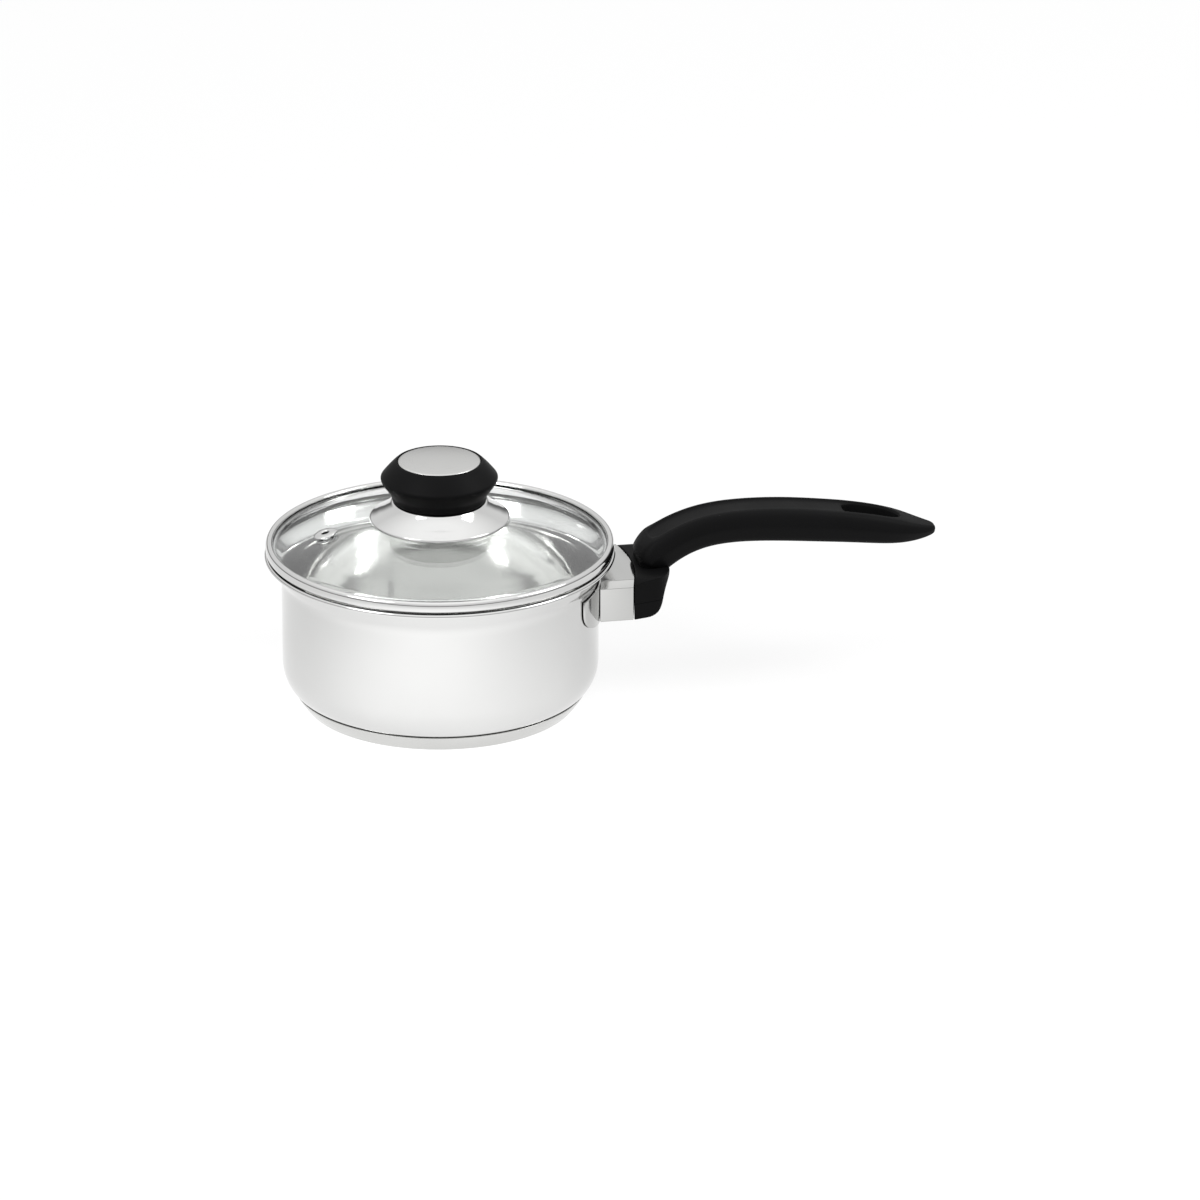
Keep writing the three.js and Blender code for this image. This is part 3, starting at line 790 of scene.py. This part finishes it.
def pick_edges(piece, wanted):
    """Picks the edges whose two ends both answer wanted(x, y, z), and opens edit mode."""
    start_picking(piece, "EDGE")
    corner = [tuple(v.co / mm) for v in piece.data.vertices]
    for edge in piece.data.edges:
        edge.select = all(wanted(*corner[v]) for v in edge.vertices)
    bpy.ops.object.mode_set(mode="EDIT")


def pick_faces(piece, wanted):
    """Picks the faces whose middle and normal answer wanted(middle, normal), and opens edit mode."""
    start_picking(piece, "FACE")
    for face in piece.data.polygons:
        face.select = wanted(face.center / mm, face.normal)
    bpy.ops.object.mode_set(mode="EDIT")


def leave_edit():
    bpy.ops.mesh.select_mode(type="VERT")
    bpy.ops.object.mode_set(mode="OBJECT")


# %% Two things done to what is picked
def bevel_picked(width, segments, profile=0.5):
    bpy.ops.mesh.bevel(offset=width * mm, offset_type="OFFSET", segments=segments, profile=profile)
    leave_edit()


def press_line(piece, place, across, wanted, half_width=0.12, depth=0.25):
    """Presses a fine line into the faces that answer wanted(middle, normal), where a plane cuts them."""
    place, across = Vector(place), Vector(across)
    only(piece)
    bpy.ops.object.mode_set(mode="EDIT")
    for shift in (-half_width, half_width):
        bpy.ops.mesh.select_all(action="SELECT")
        bpy.ops.mesh.bisect(plane_co=(place + across * shift) * mm, plane_no=across)
    bpy.ops.object.mode_set(mode="OBJECT")
    pick_faces(piece, lambda middle, normal: (
        abs((middle - place).dot(across)) < half_width * 0.8 and wanted(middle, normal)))
    bpy.ops.mesh.extrude_region_shrink_fatten(TRANSFORM_OT_shrink_fatten={"value": -depth * mm})
    leave_edit()


# %% [markdown]
# ## The flame guard
#
# The guard is a wide steel cover between the bowl and the plastic. Its plan follows the bowl on both
# curved sides. The plan is drawn as an outline, filled and raised, and the long top edges are then taken
# off at a slant. The side towards the bowl is opened, and Solidify makes the cover hollow. A fine line is
# pressed in on each side of the slant, as the press tool leaves it.

# %% Draw and raise the guard
guard_bottom, guard_top = guard_low.z, guard_high.z
guard_half = guard_high.y
guard_inner, guard_outer = 81.9, 98.0


def guard_plan(inner, outer, half, height, steps=20):
    """The plan between two circles about the axis, with straight sides, as points at one height."""
    outer_angle = math.degrees(math.asin(half / outer))
    inner_angle = math.degrees(math.asin(half / inner))
    plan = arc((0, 0), outer, -outer_angle, outer_angle, steps)
    plan += arc((0, 0), inner, inner_angle, -inner_angle, steps)
    return [(x, y, height) for x, y in plan]


def raise_plan(name, plan, height):
    """Fills a plan and raises it into a solid."""
    piece = draw_line(name, plan)
    fill_and_push((0, 0, height))
    return piece


plan = guard_plan(guard_inner, guard_outer, guard_half, guard_bottom)
guard = raise_plan("guard_cover", plan, guard_top - guard_bottom)
print(f"guard {2 * guard_half:.0f} mm wide, {guard_top - guard_bottom:.0f} mm high")

# %% Bevel, open and thicken the guard
slant = 3.0
pick_edges(guard, lambda x, y, z: abs(abs(y) - guard_half) < 0.05 and z > guard_top - 0.1)
bevel_picked(slant, 1)
pick_edges(guard, lambda x, y, z: abs(abs(y) - guard_half) < 0.05 and z < guard_bottom + 0.1)
bevel_picked(1.0, 4)
pick_faces(guard, lambda middle, normal: (
    math.hypot(middle.x, middle.y) < guard_inner + 0.6 and abs(normal.z) < 0.5))
bpy.ops.mesh.delete(type="FACE")
leave_edit()
thicken(guard, 1.0)
soften(guard, 0.3, 2, 40)

# %% Press the lines beside the slant
for side in (-1, 1):
    press_line(
        guard, (0, 0, guard_top - slant - 0.15), (0, 0, 1),
        lambda middle, normal: normal.y * side > 0.9, half_width=0.14)
    press_line(
        guard, (0, side * (guard_half - slant - 0.1), 0), (0, 1, 0),
        lambda middle, normal: normal.z > 0.9 and middle.z > guard_top - 0.5, half_width=0.1, depth=0.2)
hand_over(guard, "pan", guard_steel, ["flame_guard"], smooth=25)

# %% [markdown]
# ## The weld plate
#
# The plate lies close on the wall and shows on both sides of the guard, with rounded lower corners. A
# curved plate is a slice of a tube, so a short tube is turned and a flat shield-shaped block cuts the
# slice out of it, as a cutter would.

# %% Turn a tube and cut the plate out of it
plate_low, plate_high = lowest("weld_plate"), highest("weld_plate")
tube = turn("fixing_plate", [
    (80.45, plate_low.z - 2), (81.5, plate_low.z - 2), (81.5, plate_high.z + 2), (80.45, plate_high.z + 2)],
    closed=True, steps=240)
edge, foot = plate_high.y, guard_half - 2
bottom = plate_low.z
half_shield = [(0, bottom), (foot, bottom)]
half_shield += bend((foot, bottom), (foot + 12, bottom), (edge, bottom + 4), (edge, bottom + 13), 12)
half_shield += [(edge, plate_high.z)]
shield = [(60, y, z) for y, z in half_shield] + [(60, -y, z) for y, z in reversed(half_shield[1:])]
cutter = draw_line("shield", shield)
fill_and_push((30, 0, 0))
combine(tube, cutter, "INTERSECT")
soften(tube, 0.25, 2, 50)
hand_over(tube, "pan", guard_steel, ["weld_plate"])

# %% [markdown]
# ## The handle
#
# The handle is one black moulding. Its block continues the guard, and the grip rises from the block with
# a round nose, bends over and runs out to a pointed tip. The grip is modelled straight, standing up, from
# one section that is extruded and scaled at each station. A curve then bends it. That is far simpler than
# placing each section in the air, and the sections stay square to the grip. The thumb channel is an inset
# run of top faces pressed in, and the hanging slot is bridged through from top to bottom.

# %% The stations of the grip
# Each is x and z of the middle, then half the width and half the depth, in millimetres.
stations = [
    (103.4, 62.0, 12.0, 8.2), (106.0, 68.3, 12.0, 8.2), (106.3, 69.0, 13.6, 9.2), (107.6, 71.4, 14.0, 9.5),
    (110.9, 74.0, 14.2, 9.0), (115.0, 76.2, 14.1, 8.4), (119.7, 79.0, 13.7, 8.4), (125.3, 81.5, 13.3, 8.4),
    (133.1, 84.1, 13.1, 8.4), (143.0, 85.7, 13.0, 8.5), (154.0, 86.2, 13.0, 8.6), (166.0, 85.9, 13.0, 8.8),
    (179.0, 85.0, 13.1, 8.9), (193.0, 83.5, 13.3, 8.7), (206.0, 82.0, 13.4, 8.4), (211.0, 81.3, 13.4, 8.2),
    (217.0, 80.4, 13.3, 8.0), (223.5, 79.3, 13.0, 7.7), (230.0, 78.1, 12.6, 7.2), (236.5, 76.9, 11.6, 6.5),
    (242.0, 75.9, 10.0, 5.4), (247.2, 75.2, 8.1, 4.2), (251.8, 74.9, 5.8, 3.0), (255.8, 74.9, 3.1, 1.9),
]
# One half of the section, from the middle of the top round to the middle of the bottom, for a half
# width and a half depth of one.
half_section = [
    (0.0, 0.97), (0.61, 0.97), (0.82, 0.92), (0.95, 0.60), (1.04, 0.14), (1.04, 0.04), (0.93, -0.42),
    (0.80, -0.96), (0.48, -1.05), (0.0, -1.05)]
section = half_section + [(-x, y) for x, y in reversed(half_section[1:-1])]


# %% Extrude the grip straight up
def lengths_along(places):
    """How far along the grip each station is."""
    reach = [0.0]
    for (x0, z0, *_), (x1, z1, *_) in zip(places, places[1:]):
        reach.append(reach[-1] + math.hypot(x1 - x0, z1 - z0))
    return reach


reach = lengths_along(stations)
wide, deep = stations[0][2:]
grip = draw_line("handle_moulding", [(x * wide, y * deep, 0) for x, y in section + section[:1]])
bpy.ops.mesh.select_all(action="SELECT")
bpy.ops.mesh.remove_doubles(threshold=0.005 * mm)
bpy.ops.mesh.edge_face_add()
for i in range(1, len(stations)):
    step = (reach[i] - reach[i - 1]) * mm
    bpy.ops.mesh.extrude_region_move(TRANSFORM_OT_translate={"value": (0, 0, step)})
    across = stations[i][2] / stations[i - 1][2]
    through = stations[i][3] / stations[i - 1][3]
    bpy.ops.transform.resize(value=(across, through, 1), center_override=(0, 0, reach[i] * mm))
bpy.ops.mesh.select_all(action="SELECT")
bpy.ops.mesh.normals_make_consistent(inside=False)
bpy.ops.object.mode_set(mode="OBJECT")
print(f"grip {reach[-1]:.0f} mm long in {len(stations)} stations, {len(grip.data.polygons)} faces")


# %% Shape the nose and the neck
# The nose is rounder than the rest of the grip, so its front corners are drawn in.
def on_the_nose(place):
    return reach[1] + 0.1 < place.z < reach[4] - 1 and place.y > 6.5 and abs(place.x) > 4


pick_points(grip, on_the_nose)
bpy.ops.transform.resize(value=(0.84, 1, 1), center_override=(0, 0, 0))
bpy.ops.transform.translate(value=(0, -1.5 * mm, 0))
bpy.ops.object.mode_set(mode="OBJECT")
# The neck below the nose stands back from it, so the nose overhangs at the front.
pick_points(grip, lambda place: place.z < reach[1] + 0.1 and place.y > 2)
bpy.ops.transform.resize(value=(1, 0.6, 1), center_override=(0, 0, 0))
bpy.ops.object.mode_set(mode="OBJECT")

# %% Press in the thumb channel and open the hanging slot
channel_start, slot_start, slot_end = reach[4], reach[14], reach[19]
pick_faces(grip, lambda middle, normal: (
    normal.y > 0.8 and abs(middle.x) < 4.5 and channel_start < middle.z < slot_end))
bpy.ops.mesh.inset(thickness=0.4 * mm, depth=0)
bpy.ops.mesh.inset(thickness=0.4 * mm, depth=-1.0 * mm)
leave_edit()
pick_faces(grip, lambda middle, normal: (
    abs(normal.y) > 0.8 and abs(middle.x) < 4.5 and slot_start < middle.z < slot_end - 0.5))
bpy.ops.mesh.inset(thickness=0.4 * mm, depth=0)
bpy.ops.object.mode_set(mode="OBJECT")
print("slot faces:", sum(face.select for face in grip.data.polygons))
bpy.ops.object.mode_set(mode="EDIT")
bpy.ops.mesh.bridge_edge_loops(number_cuts=1)
leave_edit()

# %% Round the ends of the channel and of the slot
# The points at each end are drawn in towards the middle, and the smoothing does the rest.
for first, last, lowest_y in (
        (channel_start + 0.3, channel_start + 0.95, 0), (slot_start + 0.2, slot_start + 0.6, -20),
        (slot_end - 1.35, slot_end - 0.2, -20)):
    pick_points(grip, lambda place: first < place.z < last and abs(place.x) < 8.6 and place.y > lowest_y)
    bpy.ops.transform.resize(value=(0.5, 1, 1), center_override=(0, 0, 0))
    bpy.ops.object.mode_set(mode="OBJECT")
    print("end points:", sum(point.select for point in grip.data.vertices))


# %% Bend the grip
def bend_along(piece, places):
    """Bends a piece that stands on the origin along a smooth curve through the places."""
    bpy.ops.object.select_all(action="DESELECT")
    bpy.ops.curve.primitive_bezier_curve_add(location=(0, 0, 0))
    path = bpy.context.active_object
    path.data.splines.clear()
    spline = path.data.splines.new("BEZIER")
    spline.bezier_points.add(len(places) - 1)
    for point, (x, z, *_) in zip(spline.bezier_points, places):
        point.co = (x * mm, 0, z * mm)
        point.handle_left_type = point.handle_right_type = "AUTO"
    path.data.resolution_u = 24
    path.data.twist_mode = "Z_UP"
    apply_modifier(piece, "CURVE", object=path, deform_axis="POS_Z")
    bpy.data.objects.remove(path)


bend_along(grip, stations)
apply_modifier(grip, "SUBSURF", levels=3, render_levels=3)
print(f"grip bent, {len(grip.data.polygons)} faces")

# %% [markdown]
# ## The block
#
# The block is raised from its plan and then cut to a side profile and an end profile, as on a saw. Remesh
# lays an even net over it, and a little smoothing turns every sharp edge into a moulded one. The parting
# line of the mould is pressed in, the block is joined to the grip, and a recess is cut for the screw.

# %% Raise the block
block_bottom, block_top = guard_bottom, 68.0
front, shoulder = 98.4, 27.5
rear_plan = [(94.5, shoulder), (107.0, 24.3)]
rear_plan += bend((107.0, 24.3), (111.5, 23.0), (115.6, 18.0), (115.6, 10.0), 10)
front_plan = arc((0, 0), front, -16.2, 16.2, 16)
outline = front_plan + rear_plan[1:] + [(x, -y) for x, y in reversed(rear_plan[1:])]
block = raise_plan("handle_block", [(x, y, block_bottom) for x, y in outline], block_top - block_bottom)


# %% Cut the block to its side and end profiles
def keep_common(piece, profile, push):
    """Keeps what the piece shares with a filled profile that is pushed along."""
    cutter = draw_line("cutter", profile)
    fill_and_push(push)
    combine(piece, cutter, "INTERSECT")


cheek = [(90, block_bottom - 1), (100.5, block_bottom - 1), (100.5, block_bottom)]
cheek += bend((100.5, block_bottom), (106.4, 46.4), (108.9, 48.8), (110.2, 54.0), 10)
cheek += bend((110.2, 54.0), (111.4, 60.0), (112.8, 63.5), (115.6, 66.5), 8)
cheek += [(118, 67.5), (118, block_top + 1), (90, block_top + 1)]
keep_common(block, [(x, -40, z) for x, z in cheek], (0, 80, 0))
outside = shoulder + 1
half_front = [(outside, block_bottom - 1), (outside, block_top - 7)]
half_front += bend((outside, block_top - 7), (outside, block_top - 2), (24.5, block_top), (20, block_top), 10)
gable = half_front + [(-y, z) for y, z in reversed(half_front)]
keep_common(block, [(80, y, z) for y, z in gable], (50, 0, 0))

# %% Round the block
apply_modifier(block, "REMESH", mode="VOXEL", voxel_size=0.4 * mm)
apply_modifier(block, "SMOOTH", factor=0.6, iterations=4)
print(f"block, {len(block.data.polygons)} faces")

# %% Press the parting line, and join the block to the grip
parting = 55.0
press_line(block, (0, 0, parting), (0, 0, 1), lambda middle, normal: True)
combine(grip, block, "UNION")
screw_place = (lowest("handle_screw").x + highest("handle_screw").x) / 2
recess = turn("recess", [(0, 40), (5.2, 40), (5.2, 51.5), (0, 51.5)], steps=48)
recess.location.x = screw_place * mm
combine(grip, recess, "DIFFERENCE")
hand_over(grip, "pan", black_phenolic, ["handle_body"], smooth=30)

# %% [markdown]
# ## Pieces that stay as the CAD made them
#
# Five pieces are buried inside others: the aluminium disc, the steel tongue, the nut, the brass insert
# and the sleeve. Their CAD shapes are right as they are, so they only get a finish.

# %% Finish the hidden pieces
hidden = {
    "base_core": rolled_aluminium, "bracket_tongue": zinc_plate, "handle_nut": zinc_plate,
    "knob_insert": turned_brass, "knob_bush": milky_silicone}
for node, finish in hidden.items():
    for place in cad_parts[node].material_slots:
        place.material = finish

# %% [markdown]
# ## Sizes at the end
#
# The box that the visual model fills is measured at the end.

# %% Measure the visual model's box
low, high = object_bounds()
